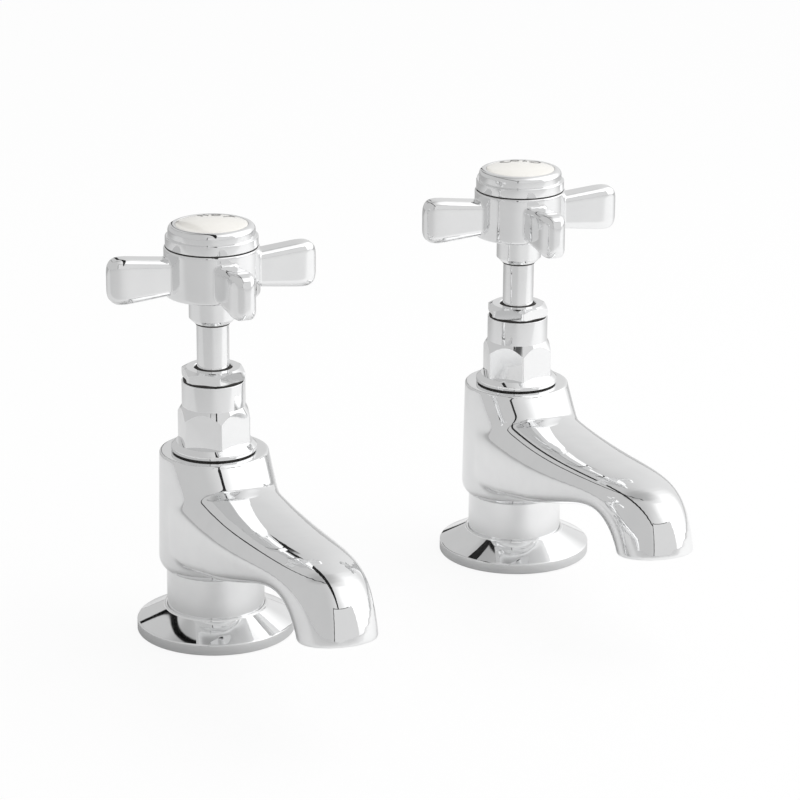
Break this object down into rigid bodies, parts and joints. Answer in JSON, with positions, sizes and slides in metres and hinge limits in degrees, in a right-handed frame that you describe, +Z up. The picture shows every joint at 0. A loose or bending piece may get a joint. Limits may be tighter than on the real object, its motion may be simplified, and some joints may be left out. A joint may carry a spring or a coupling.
{
  "type": "pair of bath taps",
  "caption": "Two chrome pillar bath taps with crosshead handles, curved spouts, round deck flanges and threaded tails, one for hot and one for cold water.",
  "frame": {"origin": "on the hot tap's axis at the deck plane, where its flange and gasket rest", "axes": "+Z up along both tap axes, -Y the way both spouts point, +X from the hot tap towards the cold tap"},
  "size_m": [0.2145, 0.1982, 0.2011],
  "materials": {
    "chrome": "polished chrome plate on cast and turned brass",
    "brass": "plain turned brass",
    "gasket": "matt black rubber",
    "valve_rubber": "matt black rubber",
    "nylon": "natural nylon",
    "packing": "white packing",
    "screw": "plain stainless steel",
    "ceramic": "glazed ivory ceramic"
  },
  "bodies": {
    "tap_bodies": {"hot_body": "chrome", "hot_base_flange": "chrome", "hot_deck_gasket": "gasket", "hot_tail": "brass", "hot_backnut_washer": "nylon", "hot_backnut": "brass", "hot_bonnet_washer": "gasket", "hot_headwork": "chrome", "hot_gland_packing": "packing", "hot_gland_nut": "chrome", "cold_body": "chrome", "cold_base_flange": "chrome", "cold_deck_gasket": "gasket", "cold_tail": "brass", "cold_backnut_washer": "nylon", "cold_backnut": "brass", "cold_bonnet_washer": "gasket", "cold_headwork": "chrome", "cold_gland_packing": "packing", "cold_gland_nut": "chrome"},
    "hot_valve": {"hot_jumper": "brass", "hot_tap_washer": "valve_rubber", "hot_washer_nut": "brass"},
    "hot_turning": {"hot_spindle": "chrome", "hot_handle": "chrome", "hot_handle_screw": "screw", "hot_index_ring": "chrome", "hot_index_disc": "ceramic"},
    "cold_valve": {"cold_jumper": "brass", "cold_tap_washer": "valve_rubber", "cold_washer_nut": "brass"},
    "cold_turning": {"cold_spindle": "chrome", "cold_handle": "chrome", "cold_handle_screw": "screw", "cold_index_ring": "chrome", "cold_index_disc": "ceramic"}
  },
  "joints": [
    {"name": "hot_lift", "type": "slide", "parent": "tap_bodies", "child": "hot_valve", "axis": [0, 0, 1], "range_m": [0, 0.0057]},
    {"name": "hot_turn", "type": "hinge", "parent": "hot_valve", "child": "hot_turning", "pos_m": [0, 0, 0.1], "axis": [0, 0, 1], "range_deg": [0, 810]},
    {"name": "cold_lift", "type": "slide", "parent": "tap_bodies", "child": "cold_valve", "axis": [0, 0, 1], "range_m": [0, 0.0057]},
    {"name": "cold_turn", "type": "hinge", "parent": "cold_valve", "child": "cold_turning", "pos_m": [0.1363, 0.0302, 0.1], "axis": [0, 0, 1], "range_deg": [0, 810]}
  ],
  "couplings": [
    {"joint": "hot_lift", "follows": "hot_turn", "m_per_rad": 0.00039789},
    {"joint": "cold_lift", "follows": "cold_turn", "m_per_rad": 0.00039789}
  ]
}
